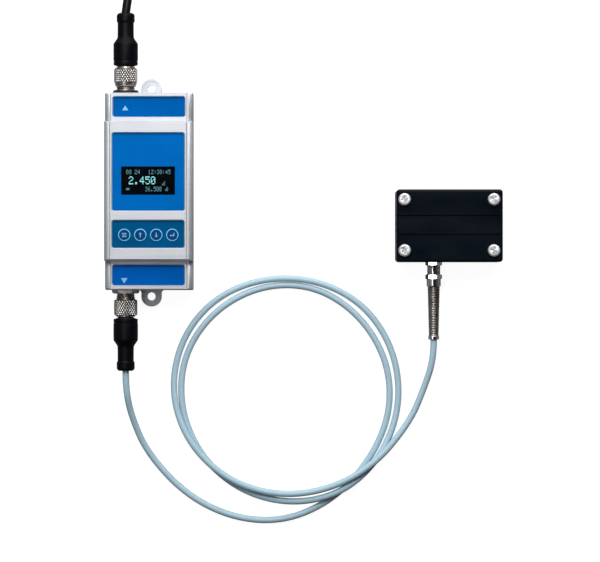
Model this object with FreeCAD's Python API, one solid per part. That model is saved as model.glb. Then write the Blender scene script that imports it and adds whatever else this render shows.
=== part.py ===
import FreeCAD, Part
import math
import os

os.makedirs("parts", exist_ok=True)

# Clamp-on ultrasonic flow meter for a small tube: a transmitter with a display
# and keys, two round screw-on connectors, and a two-half sensor head that
# clamps round the tube and is wired to the transmitter by a loop of cable.
# Millimetres. Origin: centre of the transmitter's rear face. +Z is the way the
# display faces, +Y runs up the display, +X to its right. The whole set lies on
# the plane Z = 0.

V = FreeCAD.Vector

# ---------------------------------------------------------------- dimensions
# transmitter case
CASE_W = 54.2          # raised middle section, three modules wide
END_W = 53.9           # end covers
BACK_W = 51.9          # the side walls draw in to this at the rear cover
CASE_H = 120.0
MID_H = 84.6           # length of the raised middle section
CASE_D = 36.0          # rear face to front face
END_D = 30.0           # rear face to the front of the end covers
WALL = 2.0
REAR_T = 2.5
RAIL_X = {-1: 23.45, 1: 22.95}  # grooves between the face and the side rails
RAIL_R = 3.0           # rounding of the side rails
GROOVE_W = 0.5
GROOVE_DEEP = 0.7      # on the middle housing
GROOVE_END = 0.35      # on the end covers
PLAN_R = 1.4

# mounting ears
EAR_R = 6.25
EAR_Y = 64.0
EAR_HOLE_R = 2.5

# labels (x0, x1, y0, y1), sunk in chamfered pockets
LABEL_T = 0.3
POCKET = 0.8
POCKET_CH = 0.5
LABEL_R = 1.3
TOP_LABEL = (-21.9, 21.7, 45.3, 57.5)
MAIN_LABEL = (-22.0, 21.6, -11.9, 35.2)
KEY_LABEL = (-22.1, 21.5, -34.4, -17.8)
BOTTOM_LABEL = (-22.2, 21.4, -57.0, -44.8)
WINDOW = (-16.6, 16.0, -2.3, 14.9)

# keys
KEY_X = (-14.7, -5.0, 4.7, 14.4)
KEY_Y = -26.6
KEY_R = 3.72
KEY_HOLE_R = 3.80
KEY_PROUD = 0.45
KEY_TRAVEL = 0.4

# round connectors, axis along Y
CON_X = -15.0
CON_Z = 17.0
THREAD_R = 6.0         # M12 x 1
NUT_R = 7.1

# boards
BOARD_Z = 7.0
BOARD_T = 1.6
DISPLAY_Z = 27.0
POST_X, POST_Y = 20.0, 36.0

# sensor head
HX0, HX1 = 150.35, 214.95
HY0, HY1 = -42.9, 1.3
HEAD_D = 30.0
SPLIT = 0.3            # gap between the two halves
TUBE_Y, TUBE_Z, TUBE_R = -20.8, 15.0, 3.0
SCREW_X = (155.2, 209.4)
SCREW_Y = (-4.9, -35.9)
SCREW_HEAD_R = 3.75
SCREW_HEAD_H = 3.0
SCREW_TURN = (8.0, 52.0, 24.0, 71.0)   # how far each recess is turned
GLAND_X, GLAND_Z = 173.9, 8.5
WEDGES = ((166.0, 178.0, 1), (186.6, 198.6, -1))

# cables
SENSOR_CABLE_D = 4.0
POWER_CABLE_D = 5.3

# route of the sensor cable, from the transmitter's plug to the sensor head
SENSOR_ROUTE = [
    (-15.0, -109.4, 17.0), (-15.0, -121.4, 17.0), (-11.46, -139.26, 9.0),
    (-2.28, -160.76, 3.0), (20.91, -186.17, 2.0), (49.96, -200.74, 2.0),
    (81.5, -202.99, 2.0), (111.1, -190.24, 2.0), (134.71, -165.74, 2.0),
    (147.93, -135.21, 2.0), (145.77, -103.14, 2.0), (128.26, -74.67, 2.0),
    (100.31, -57.13, 2.0), (67.72, -56.86, 2.0), (38.13, -72.69, 2.0),
    (19.63, -99.9, 2.0), (17.46, -132.63, 2.0), (30.4, -163.29, 2.0),
    (55.64, -184.62, 2.1), (87.92, -192.36, 4.0), (119.56, -184.31, 7.15),
    (143.07, -161.3, 3.3), (153.87, -129.9, 2.0), (149.82, -96.96, 2.0),
    (132.16, -69.49, 2.1), (103.53, -53.85, 3.2), (69.98, -52.14, 3.2),
    (39.21, -64.26, 2.0), (18.5, -89.41, 2.0), (11.9, -121.9, 3.1),
    (21.92, -153.2, 6.15), (45.59, -176.56, 6.5), (76.73, -187.0, 5.8),
    (109.06, -183.19, 8.3), (137.5, -167.55, 9.4), (159.4, -141.21, 5.4),
    (168.16, -120.3, 5.2), (173.9, -102.5, 8.5), (173.9, -90.5, 8.5)]

# route of the power cable, from its plug to its stored coil
COIL_X, COIL_Y = 26.8, 174.5
COIL_R = 30.5          # middle of the turns
POWER_ROUTE = [
    (-15.0, 109.4, 17.0), (-13.3, 121.4, 17.0), (-11.6, 137.0, 10.4),
    (-10.9, 152.0, 4.4), (-9.2, 167.0, 2.65), (-6.6, 186.0, 2.65)]

PARTS = {}


def add(name, shape):
    PARTS[name] = shape


# ------------------------------------------------------------------- helpers
def box(x0, x1, y0, y1, z0, z1):
    return Part.makeBox(x1 - x0, y1 - y0, z1 - z0, V(x0, y0, z0))


def cyl(x, y, z, r, h, d=(0, 0, 1)):
    return Part.makeCylinder(r, h, V(x, y, z), V(*d))


def poly(points):
    return Part.makePolygon([V(*p) for p in points] + [V(*points[0])])


def prism(points, d):
    return Part.Face(poly(points)).extrude(V(*d))


def join(*shapes):
    out = shapes[0]
    for s in shapes[1:]:
        out = out.fuse(s)
    return out.removeSplitter()


def cut(shape, *tools):
    for t in tools:
        shape = shape.cut(t)
    return shape


def group(*shapes):
    return Part.makeCompound(list(shapes))


def round_wire(x0, x1, y0, y1, z, r):
    """Rounded rectangle in a plane of constant Z; r is one radius or four,
    for the corners (x0,y0), (x1,y0), (x1,y1), (x0,y1)."""
    rs = (r,) * 4 if isinstance(r, (int, float)) else r
    k = math.sqrt(0.5)
    e = []
    a, b, c, d = rs

    def line(p, q):
        if (V(*q) - V(*p)).Length > 1e-9:
            e.append(Part.LineSegment(V(*p), V(*q)).toShape())

    def arc(p, m, q):
        e.append(Part.Arc(V(*p), V(*m), V(*q)).toShape())

    line((x0 + a, y0, z), (x1 - b, y0, z))
    if b:
        arc((x1 - b, y0, z), (x1 - b + b * k, y0 + b - b * k, z), (x1, y0 + b, z))
    line((x1, y0 + b, z), (x1, y1 - c, z))
    if c:
        arc((x1, y1 - c, z), (x1 - c + c * k, y1 - c + c * k, z), (x1 - c, y1, z))
    line((x1 - c, y1, z), (x0 + d, y1, z))
    if d:
        arc((x0 + d, y1, z), (x0 + d - d * k, y1 - d + d * k, z), (x0, y1 - d, z))
    line((x0, y1 - d, z), (x0, y0 + a, z))
    if a:
        arc((x0, y0 + a, z), (x0 + a - a * k, y0 + a - a * k, z), (x0 + a, y0, z))
    return Part.Wire(e)


def slab(x0, x1, y0, y1, z0, z1, r):
    return Part.Face(round_wire(x0, x1, y0, y1, z0, r)).extrude(V(0, 0, z1 - z0))


def rev_y(points, x, z, flip=1):
    """Solid of revolution about a line along Y through (x, z); points are
    (radius, y)."""
    pts = [(x + r, flip * y, z) for r, y in points]
    return Part.Face(poly(pts)).revolve(V(x, 0, z), V(0, 1, 0), 360)


def rev_z(points, x, y):
    pts = [(x + r, y, z) for r, z in points]
    return Part.Face(poly(pts)).revolve(V(x, y, 0), V(0, 0, 1), 360)


def hex_y(x, z, across, y0, y1):
    """Hexagon prism along Y with two corners at the left and right."""
    r = across / 2 / math.cos(math.pi / 6)
    pts = [(x + r * math.cos(math.radians(60 * i)), y0,
            z + r * math.sin(math.radians(60 * i))) for i in range(6)]
    return prism(pts, (0, y1 - y0, 0))


def case_profile(half, z_top, y0, y1):
    """Front shell section: flat face, side rails with rounded outer edges."""
    k = math.sqrt(0.5)
    r = RAIL_R
    z0 = REAR_T

    def P(x, z):
        return V(x, y0, z)
    e = [Part.LineSegment(P(-BACK_W / 2, z0), P(-half, z_top - r)).toShape(),
         Part.Arc(P(-half, z_top - r), P(-half + r - r * k, z_top - r + r * k),
                  P(-half + r, z_top)).toShape(),
         Part.LineSegment(P(-half + r, z_top), P(half - r, z_top)).toShape(),
         Part.Arc(P(half - r, z_top), P(half - r + r * k, z_top - r + r * k),
                  P(half, z_top - r)).toShape(),
         Part.LineSegment(P(half, z_top - r), P(BACK_W / 2, z0)).toShape(),
         Part.LineSegment(P(BACK_W / 2, z0), P(-BACK_W / 2, z0)).toShape()]
    return Part.Face(Part.Wire(e)).extrude(V(0, y1 - y0, 0))


def rail_grooves(z_top, y0, y1, deep):
    g = []
    for s in (-1, 1):
        x = s * RAIL_X[s]
        g.append(prism([(x - GROOVE_W / 2, y0, z_top + 1),
                        (x - GROOVE_W / 2, y0, z_top - deep + 0.2),
                        (x, y0, z_top - deep),
                        (x + GROOVE_W / 2, y0, z_top - deep + 0.2),
                        (x + GROOVE_W / 2, y0, z_top + 1)], (0, y1 - y0, 0)))
    return g


def pocket(rect, z_face):
    x0, x1, y0, y1 = rect
    zc = z_face - POCKET_CH
    c = POCKET_CH
    low = slab(x0, x1, y0, y1, z_face - POCKET, zc + 0.01, LABEL_R)
    taper = Part.makeLoft([
        round_wire(x0, x1, y0, y1, zc, LABEL_R),
        round_wire(x0 - c, x1 + c, y0 - c, y1 + c, z_face, LABEL_R + c)], True, True)
    top = slab(x0 - c, x1 + c, y0 - c, y1 + c, z_face - 0.001, z_face + 1, LABEL_R + c)
    return [low, taper, top]


def label(rect, z_face):
    x0, x1, y0, y1 = rect
    z = z_face - POCKET
    return slab(x0 + 0.05, x1 - 0.05, y0 + 0.05, y1 - 0.05, z, z + LABEL_T,
                LABEL_R - 0.05)


def tube(route, d, name):
    """A round cable along straight runs joined by tangent arcs, each arc as
    large as its two runs allow."""
    P = [V(*p) for p in route]
    edges, at, radii = [], P[0], []
    for i in range(1, len(P) - 1):
        a, b = P[i - 1] - P[i], P[i + 1] - P[i]
        la, lb = a.Length, b.Length
        ua, ub = a / la, b / lb
        turn = math.pi - math.acos(max(-1, min(1, ua.dot(ub))))
        m = 0.45 * min(la, lb)
        r = m / math.tan(turn / 2)
        radii.append(r)
        p0, p1 = P[i] + ua * m, P[i] + ub * m
        bis = ua + ub
        bis.normalize()
        c = P[i] + bis * (r / math.cos(turn / 2))
        edges.append(Part.LineSegment(at, p0).toShape())
        edges.append(Part.Arc(p0, c - bis * r, p1).toShape())
        at = p1
    edges.append(Part.LineSegment(at, P[-1]).toShape())
    wire = Part.Wire(edges)
    circle = Part.Wire(Part.makeCircle(d / 2, P[0], P[1] - P[0]))
    solid = wire.makePipeShell([circle], True, True)
    vol = math.pi * d * d / 4 * wire.Length
    print(name, "length %.1f mm, volume %.1f of %.1f mm3, radii %.1f to %.1f mm"
          % (wire.Length, solid.Volume, vol, min(radii), max(radii)))
    return solid


def wire_run(points, r):
    """A thin stiff wire: straight pieces with ball corners."""
    s = None
    for p, q in zip(points, points[1:]):
        a, b = V(*p), V(*q)
        piece = Part.makeCylinder(r, (b - a).Length, a, b - a)
        s = piece if s is None else s.fuse(piece)
    for p in points[1:-1]:
        s = s.fuse(Part.makeSphere(r, V(*p)))
    return s


# =============================================================== transmitter
HW, EW, MH, CH = CASE_W / 2, END_W / 2, MID_H / 2, CASE_H / 2

# rear cover with its two mounting ears and the board posts
plate = slab(-BACK_W / 2, BACK_W / 2, -CH, CH, 0, REAR_T, PLAN_R)
for s in (-1, 1):
    ear = cyl(0, s * EAR_Y, 0, EAR_R, REAR_T)
    neck = box(-EAR_R, EAR_R, min(s * (CH - 1), s * EAR_Y), max(s * (CH - 1), s * EAR_Y),
               0, REAR_T)
    flare = box(-EAR_R - 2, EAR_R + 2, min(s * (CH - 1), s * (CH + 2)),
                max(s * (CH - 1), s * (CH + 2)), 0, REAR_T)
    for t in (-1, 1):
        flare = flare.cut(cyl(t * (EAR_R + 2), s * (CH + 2), -1, 2, REAR_T + 2))
    rim = cut(cyl(0, s * EAR_Y, REAR_T - 0.5, EAR_R, 1.1),
              cyl(0, s * EAR_Y, -1, EAR_R - 1.3, 9),
              box(-20, 20, -CH - 0.2, CH + 0.2, -1, 9))
    collar = cyl(0, s * EAR_Y, REAR_T - 0.5, EAR_HOLE_R + 0.9, 0.8)
    plate = join(plate, ear, neck, flare, rim, collar)
    plate = plate.cut(cyl(0, s * EAR_Y, -1, EAR_HOLE_R, 9))
BOSS = [(sx * 20.6, sy * 52.0) for sx in (-1, 1) for sy in (-1, 1)]
POSTS = [(sx * POST_X, sy * POST_Y) for sx in (-1, 1) for sy in (-1, 1)]
for x, y in POSTS:
    plate = plate.fuse(cyl(x, y, REAR_T - 0.5, 3.0, BOARD_Z - REAR_T + 0.5))
for x, y in POSTS:
    plate = plate.cut(cyl(x, y, 3.2, 1.25, 9))
for x, y in BOSS:
    plate = plate.cut(rev_z([(0, -1), (3.0, -1), (3.0, 0.3), (1.6, 1.7), (1.6, 5), (0, 5)],
                            x, y))
add("rear_cover", plate.removeSplitter())
add("rear_cover_screws", group(*[
    cut(rev_z([(0, 0.1), (2.9, 0.1), (2.9, 0.3), (1.5, 1.7), (1.5, 8.2), (0, 8.2)], x, y),
        box(x - 1.8, x + 1.8, y - 0.35, y + 0.35, -1, 0.9),
        box(x - 0.35, x + 0.35, y - 1.8, y + 1.8, -1, 0.9)) for x, y in BOSS]))

# middle housing: the raised front section with its side walls
h = case_profile(HW, CASE_D, -MH, MH)
side = prism([(-HW - 1, -MH, REAR_T - 1), (-HW - 1, -MH, CASE_D - 1.1),
              (-HW - 1, -MH + 1.1, CASE_D), (-HW - 1, MH - 1.1, CASE_D),
              (-HW - 1, MH, CASE_D - 1.1), (-HW - 1, MH, REAR_T - 1)],
             (CASE_W + 2, 0, 0))
h = h.common(side)
h = cut(h, box(-HW + WALL, HW - WALL, -MH + WALL, MH - WALL, 0, CASE_D - WALL),
        box(-HW + WALL, HW - WALL, -MH - 1, MH + 1, 0, END_D - WALL))
h = cut(h, *rail_grooves(CASE_D, -MH - 1, MH + 1, GROOVE_DEEP))
h = cut(h, *pocket(MAIN_LABEL, CASE_D), *pocket(KEY_LABEL, CASE_D))
h = cut(h, box(WINDOW[0], WINDOW[1], WINDOW[2], WINDOW[3], CASE_D - 5, CASE_D))
for x in KEY_X:
    h = h.cut(cyl(x, KEY_Y, CASE_D - 5, KEY_HOLE_R, 9))
add("main_housing", h.removeSplitter())


# end covers, each with a tongue under the middle housing and a connector hole
def end_cover(s, rect):
    y0, y1 = (MH, CH) if s > 0 else (-CH, -MH)
    c = case_profile(EW, END_D, y0, y1)
    rr = (0, 0, PLAN_R, PLAN_R) if s > 0 else (PLAN_R, PLAN_R, 0, 0)
    c = c.common(slab(-EW, EW, y0, y1, 0, END_D + 1, rr))
    yo = s * CH
    side = prism([(-EW - 1, s * MH, 0), (-EW - 1, s * MH, END_D),
                  (-EW - 1, yo - s * 0.8, END_D), (-EW - 1, yo, END_D - 0.8),
                  (-EW - 1, yo, 0)], (END_W + 2, 0, 0))
    c = c.common(side)
    c = cut(c, box(-EW + WALL, EW - WALL, min(s * (MH - 1), s * (CH - WALL)),
                   max(s * (MH - 1), s * (CH - WALL)), 0, END_D - WALL))
    c = cut(c, *rail_grooves(END_D, y0 - 1, y1 + 1, GROOVE_END))
    # the rails stop just short of the end
    for t in (-1, 1):
        xa, xb = sorted((t * (RAIL_X[t] + 0.2), t * (EW - 0.9)))
        ya, yb = sorted((s * (CH - 0.9), s * (CH + 1)))
        c = c.cut(box(xa, xb, ya, yb, END_D - 9, END_D + 1))
    c = cut(c, *pocket(rect, END_D))
    ya, yb = sorted((s * (MH - 3.4), s * (MH + 2)))
    c = join(c, box(-EW + WALL, EW - WALL, ya, yb, END_D - WALL - 1.6, END_D - WALL - 0.1),
             box(-EW + WALL, EW - WALL, *sorted((s * MH, s * (MH + 2))),
                 END_D - WALL - 0.2, END_D - WALL))
    for x, y in BOSS:
        if y * s > 0:
            c = c.fuse(cyl(x, y, REAR_T, 3.0, 6.3))
            c = c.fuse(box(min(x, math.copysign(EW - WALL + 0.5, x)),
                           max(x, math.copysign(EW - WALL + 0.5, x)),
                           y - 1.2, y + 1.2, REAR_T, REAR_T + 6.3))
    for x, y in BOSS:
        if y * s > 0:
            c = c.cut(cyl(x, y, 0, 1.5, 8.3))
    c = c.cut(cyl(CON_X, min(s * (CH - WALL - 1), s * (CH + 1)), CON_Z, THREAD_R + 0.1,
                  WALL + 2, (0, 1, 0)))
    return c.removeSplitter()


add("top_end_cover", end_cover(1, TOP_LABEL))
add("bottom_end_cover", end_cover(-1, BOTTOM_LABEL))

# labels, window
add("top_label", label(TOP_LABEL, END_D))
add("bottom_label", label(BOTTOM_LABEL, END_D))
m = label(MAIN_LABEL, CASE_D).cut(
    box(WINDOW[0], WINDOW[1], WINDOW[2], WINDOW[3], CASE_D - 5, CASE_D + 1))
add("main_label", m)
k = label(KEY_LABEL, CASE_D)
for x in KEY_X:
    k = k.cut(cyl(x, KEY_Y, CASE_D - 5, KEY_HOLE_R, 9))
add("key_label", k)
add("display_window", box(WINDOW[0] + 0.05, WINDOW[1] - 0.05, WINDOW[2] + 0.05,
                          WINDOW[3] - 0.05, CASE_D - 1.8, CASE_D - POCKET_CH))

# keys
KEY_NAMES = ("key_menu", "key_up", "key_down", "key_enter")
KEY_TOP = CASE_D - POCKET_CH + KEY_PROUD
INNER = CASE_D - WALL
for name, x in zip(KEY_NAMES, KEY_X):
    cap = rev_z([(0, INNER - 0.85), (4.5, INNER - 0.85), (4.5, INNER - 0.05),
                 (KEY_R, INNER - 0.05), (KEY_R, KEY_TOP - 0.25),
                 (KEY_R - 0.25, KEY_TOP), (0, KEY_TOP)], x, KEY_Y)
    stem = cyl(x, KEY_Y, 31.7, 1.3, INNER - 0.85 - 31.7)
    add(name, join(cap, stem))

# boards
db = slab(-23, 23, -38.2, 38.2, DISPLAY_Z, DISPLAY_Z + BOARD_T, 1.5)
mb = slab(-23, 23, -47, 47, BOARD_Z, BOARD_Z + BOARD_T, 1.5)
for x, y in POSTS:
    db = db.cut(cyl(x, y, 0, 1.3, 60))
    mb = mb.cut(cyl(x, y, 0, 1.3, 60))
add("display_board", db)
add("main_board", mb)
DT = DISPLAY_Z + BOARD_T
MT = BOARD_Z + BOARD_T
add("display_module", join(
    box(-18.0, 17.4, -5.4, 16.6, DT, DT + 3.6),
    box(-17.2, 16.6, -3.2, 15.8, DT + 3.6, 33.9)))
add("key_switches", group(*[join(
    box(x - 2.6, x + 2.6, KEY_Y - 2.6, KEY_Y + 2.6, DT, DT + 1.7),
    cyl(x, KEY_Y, DT + 1.7, 1.3, 31.25 - DT - 1.7)) for x in KEY_X]))


def hex_z(x, y, across, z0, z1):
    r = across / 2 / math.cos(math.pi / 6)
    pts = [(x + r * math.cos(math.radians(60 * i)), y + r * math.sin(math.radians(60 * i)),
            z0) for i in range(6)]
    return prism(pts, (0, 0, z1 - z0))


add("board_spacers", group(*[cut(join(
    hex_z(x, y, 5.0, MT, DISPLAY_Z), cyl(x, y, 3.4, 1.25, MT - 3.4)),
    cyl(x, y, DISPLAY_Z - 7, 1.25, 8)) for x, y in POSTS]))
add("board_screws", group(*[cut(join(
    cyl(x, y, DT, 2.3, 1.6), cyl(x, y, DISPLAY_Z - 6, 1.25, DT - DISPLAY_Z + 6)),
    box(x - 1.5, x + 1.5, y - 0.3, y + 0.3, DT + 0.8, DT + 3),
    box(x - 0.3, x + 0.3, y - 1.5, y + 1.5, DT + 0.8, DT + 3)) for x, y in POSTS]))
add("board_link", join(box(-13, 13, 24.0, 29.0, MT, MT + 8.5),
                       box(-12.4, 12.4, 25.2, 27.8, MT + 8.5, DISPLAY_Z)))
add("processor_chips", group(box(-6, 6, -10, 2, MT, MT + 1.4),
                             box(9, 16, -8, -3, MT, MT + 1.4),
                             box(-16, -10, 6, 11, MT, MT + 1.4),
                             box(4, 12, 8, 16, MT, MT + 1.4)))
add("power_converter", slab(-18, -2, -32, -18, MT, MT + 8.0, 1.0))
add("capacitors", group(*[rev_z([(0, MT), (3.1, MT), (3.1, MT + 0.8), (2.9, MT + 1.1),
                                 (3.1, MT + 1.4), (3.1, MT + 11), (0, MT + 11)], x, y)
                          for x, y in ((6, -28), (14, -28), (10, -20.5))]))

# board plugs and the leads from the connectors' pins
add("board_connectors", group(
    box(CON_X - 6, CON_X + 6, 38.5, 44.5, MT, MT + 5),
    box(CON_X - 6, CON_X + 6, -44.5, -38.5, MT, MT + 5)))
PIN_AT = [(0, 0)] + [(2.1 * math.cos(math.radians(45 + 90 * i)),
                      2.1 * math.sin(math.radians(45 + 90 * i))) for i in range(4)]


def leads(s):
    out = []
    for i, (dx, dz) in enumerate(PIN_AT):
        x, z = CON_X + dx, CON_Z + dz
        xb = CON_X + (i - 2) * 2.0
        out.append(wire_run([(x, s * 49.95, z), (x, s * 47.6, z),
                             (xb, s * 41.5, MT + 7.0), (xb, s * 41.5, MT + 5.0)], 0.5))
    return out


# the leads fan out without touching, so each is a separate solid
add("connector_leads", group(*(leads(1) + leads(-1))))


# ---------------------------------------------------------- round connectors
SOCKET_NUTS, SOCKET_INSERTS, SOCKET_PINS = [], [], []


def connector(s, kind):
    """Socket screwed into the end cover, and the plug screwed on it."""
    body = rev_y([(4.5, 52), (THREAD_R, 52), (THREAD_R, 71.2), (THREAD_R - 0.7, 72),
                  (4.5, 72)], CON_X, CON_Z, s)
    hexa = hex_y(CON_X, CON_Z, 14.5, *sorted((s * CH, s * (CH + 2.2))))
    hexa = hexa.cut(cyl(CON_X, s * 50 if s > 0 else -70, CON_Z, 4.5, 20, (0, 1, 0)))
    add(kind + "_socket", join(body, hexa))
    nut = hex_y(CON_X, CON_Z, 14.0, *sorted((s * 54.8, s * (CH - WALL))))
    SOCKET_NUTS.append(nut.cut(
        cyl(CON_X, -80 if s < 0 else 40, CON_Z, THREAD_R, 40, (0, 1, 0))))
    ins = rev_y([(0, 53), (4.48, 53), (4.48, 63.0), (0, 63.0)], CON_X, CON_Z, s)
    for dx, dz in PIN_AT:
        y0, y1 = sorted((s * 50.0, s * 69.5))
        p = cyl(CON_X + dx, y0, CON_Z + dz, 0.5, y1 - y0, (0, 1, 0))
        SOCKET_PINS.append(p)
        ins = ins.cut(p)
    SOCKET_INSERTS.append(ins)
    # plug: contact carrier and moulded body
    carrier = rev_y([(0, 63.4), (4.35, 63.4), (4.35, 72.75), (5.9, 72.75), (5.9, 73.4),
                     (4.9, 73.4), (4.9, 77.1), (5.9, 77.1), (5.9, 80.0), (0, 80.0)],
                    CON_X, CON_Z, s)
    for dx, dz in PIN_AT:
        y0, y1 = sorted((s * 63.0, s * 70.2))
        carrier = carrier.cut(cyl(CON_X + dx, y0, CON_Z + dz, 0.6, y1 - y0, (0, 1, 0)))
    add(kind + "_plug_insert", carrier)
    mould = rev_y([(5.9, 77.1), (7.1, 77.1), (7.5, 77.6), (7.5, 90.2), (7.2, 91.0),
                   (4.9, 93.8), (4.75, 94.6), (4.75, 104.0), (5.25, 104.3),
                   (5.25, 108.2), (4.9, 109.0), (4.2, 109.4), (0, 109.4), (0, 80.0),
                   (5.9, 80.0)], CON_X, CON_Z, s)
    add(kind + "_plug", mould)
    # coupling nut, running on the socket's thread, and the ring that keeps it
    nut = rev_y([(6.06, 64.7), (6.35, 64.7), (6.95, 66.9), (NUT_R, 67.2), (NUT_R, 76.0),
                 (6.8, 76.4), (5.2, 76.4), (5.2, 75.5), (5.85, 75.5), (5.85, 74.8),
                 (5.2, 74.8), (5.2, 73.5), (6.06, 73.5)], CON_X, CON_Z, s)
    add(kind + "_nut", nut)
    add(kind + "_nut_ring", rev_y([(4.96, 74.9), (5.75, 74.9), (5.75, 75.4),
                                   (4.96, 75.4)], CON_X, CON_Z, s))


connector(1, "power")
connector(-1, "sensor")
add("socket_nuts", group(*SOCKET_NUTS))
add("socket_inserts", group(*SOCKET_INSERTS))
add("socket_pins", group(*SOCKET_PINS))

# =============================================================== sensor head
HCX = (HX0 + HX1) / 2
z_base = TUBE_Z - SPLIT / 2
z_cover = TUBE_Z + SPLIT / 2
channel = cyl(HX0 - 1, TUBE_Y, TUBE_Z, TUBE_R, HX1 - HX0 + 2, (1, 0, 0))
base = slab(HX0, HX1, HY0, HY1, 0, z_base, 2.0)
base = cut(base, channel,
           slab(156.5, 208.15, -41.0, -0.6, -1, 1.6, 1.5),
           box(160.0, 204.65, -37.5, -4.1, 1, 9.5))
for a, b, s in WEDGES:
    base = base.cut(box(a, b, TUBE_Y - 5, TUBE_Y + 5, 9, z_base + 1))
for x in SCREW_X:
    for y in SCREW_Y:
        base = base.cut(cyl(x, y, 4.0, 2.06, 20))
PLATE_SCREWS = [(x, y) for x in (158.4, 206.25) for y in (-39.2, -2.4)]
for x, y in PLATE_SCREWS:
    base = base.cut(cyl(x, y, 1, 1.0, 5.2))
base = base.cut(cyl(GLAND_X, HY0 - 1, GLAND_Z, 4.03, 8, (0, 1, 0)))
add("clamp_base", base.removeSplitter())

bp = slab(156.6, 208.05, -40.9, -0.7, 0, 1.6, 1.4)
for x, y in PLATE_SCREWS:
    bp = bp.cut(rev_z([(0, -1), (1.7, -1), (1.7, 0.2), (1.05, 0.9), (1.05, 3), (0, 3)],
                      x, y))
add("base_plate", bp)
add("base_plate_screws", group(*[rev_z([(0, 0.1), (1.6, 0.1), (1.6, 0.2), (1.0, 0.9),
                                        (1.0, 6.0), (0, 6.0)], x, y)
                                 for x, y in PLATE_SCREWS]))

c = 1.2
cover = slab(HX0, HX1, HY0, HY1, z_cover, HEAD_D - c, 2.0)
top = Part.makeLoft([round_wire(HX0, HX1, HY0, HY1, HEAD_D - c, 2.0),
                     round_wire(HX0 + c, HX1 - c, HY0 + c, HY1 - c, HEAD_D, 1.0)],
                    True, True)
cover = cut(join(cover, top), channel)
for y in (-14.7, -26.2):
    cover = cover.cut(box(HX0 + 1.6, HX1 - 1.6, y - 0.3, y + 0.3, HEAD_D - 0.8,
                          HEAD_D + 1))
for x in SCREW_X:
    for y in SCREW_Y:
        cover = cover.cut(cyl(x, y, 0, 2.2, 60))
add("clamp_cover", cover.removeSplitter())

n = 1
for y in SCREW_Y:
    for x in SCREW_X:
        z = HEAD_D + 0.02
        H, R = SCREW_HEAD_H, SCREW_HEAD_R
        sc = rev_z([(0, 5.0), (1.4, 5.0), (2.0, 5.7), (2.0, z), (R - 0.2, z), (R, z + 0.2),
                    (R, z + H - 1.0), (R - 0.25, z + H - 0.45), (R - 0.9, z + H), (0, z + H)],
                   x, y)
        sc = cut(sc, box(x - 2.2, x + 2.2, y - 0.45, y + 0.45, z + H - 1.5, z + H + 1),
                 box(x - 0.45, x + 0.45, y - 2.2, y + 2.2, z + H - 1.5, z + H + 1))
        sc.rotate(V(x, y, 0), V(0, 0, 1), SCREW_TURN[n - 1])
        add("clamp_screw_%d" % n, sc)
        n += 1

# the two plastic wedges that carry the ultrasound, and their crystals
wedges, discs, wires = [], [], []
for a, b, s in WEDGES:
    w = box(a, b, TUBE_Y - 5, TUBE_Y + 5, 4.5, z_base).cut(channel)
    xo = a if s > 0 else b               # outer end
    xi = xo + s * 5.6
    w = w.cut(prism([(xo, TUBE_Y - 6, 4.0), (xo, TUBE_Y - 6, 9.6), (xi, TUBE_Y - 6, 4.0)],
                    (0, 12, 0)))
    wedges.append(w)
    nx, nz = -s * math.sqrt(0.5), -math.sqrt(0.5)
    mx, mz = xo + s * 2.5, 7.1
    disc = Part.makeCylinder(3.2, 0.8, V(mx, TUBE_Y, mz), V(nx, 0, nz))
    d0 = (V(xo, 0, 9.6) - V(mx, 0, mz)).dot(V(nx, 0, nz))
    disc.translate(V(nx, 0, nz) * d0)
    discs.append(disc)
    ex = V(mx, TUBE_Y, mz) + V(nx, 0, nz) * (d0 + 0.8)
    wires.append((ex.x, TUBE_Y, ex.z, s))
add("transducer_wedges", group(*wedges))
add("transducer_crystals", group(*discs))
hw = []
for (x, y, z, s), dx in zip(wires, (-0.8, 0.8)):
    hw.append(wire_run([(GLAND_X + dx, -38.5, GLAND_Z), (GLAND_X + dx, -36.0, GLAND_Z),
                        (x - s * 0.9, -28.5, 3.2), (x - s * 0.9, TUBE_Y, 3.2),
                        (x, TUBE_Y, z - 0.05)], 0.4))
add("crystal_wires", group(*[w.cut(d) for w, d in zip(hw, discs)]))

# cable gland, clamp nut, seal and the spring that guards the bend
g = rev_y([(2.3, -38.6), (4.0, -38.6), (4.0, HY0), (4.1, HY0), (4.1, -50.4), (3.0, -50.4),
           (3.0, -45.0), (2.3, -45.0)], GLAND_X, GLAND_Z)
hexa = hex_y(GLAND_X, GLAND_Z, 9.0, HY0 - 2.1, HY0).cut(
    cyl(GLAND_X, -60, GLAND_Z, 4.0, 40, (0, 1, 0)))
add("cable_gland", join(g, hexa))
add("gland_seal", rev_y([(2.0, -45.0), (3.0, -45.0), (3.0, -50.2), (2.0, -50.2)],
                        GLAND_X, GLAND_Z))
gn = hex_y(GLAND_X, GLAND_Z, 9.0, -53.4, -50.4)
gn = join(gn, rev_y([(0, -53.4), (4.35, -53.4), (4.35, -57.5), (4.0, -57.9), (0, -57.9)],
                    GLAND_X, GLAND_Z))
gn = gn.cut(cyl(GLAND_X, -60, GLAND_Z, 2.2, 20, (0, 1, 0)))
add("gland_nut", gn)
add("bend_guard_spring", rev_y([(2.2, -57.9), (3.85, -57.9), (3.05, -88.4), (3.35, -88.6),
                                (3.35, -90.2), (3.1, -90.5), (2.05, -90.5)],
                               GLAND_X, GLAND_Z))
add("sensor_cable_end", cyl(GLAND_X, -90.5, GLAND_Z, SENSOR_CABLE_D / 2, 52.0, (0, 1, 0)))

# ==================================================================== cables
add("sensor_cable", tube(SENSOR_ROUTE, SENSOR_CABLE_D, "sensor cable"))

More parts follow.
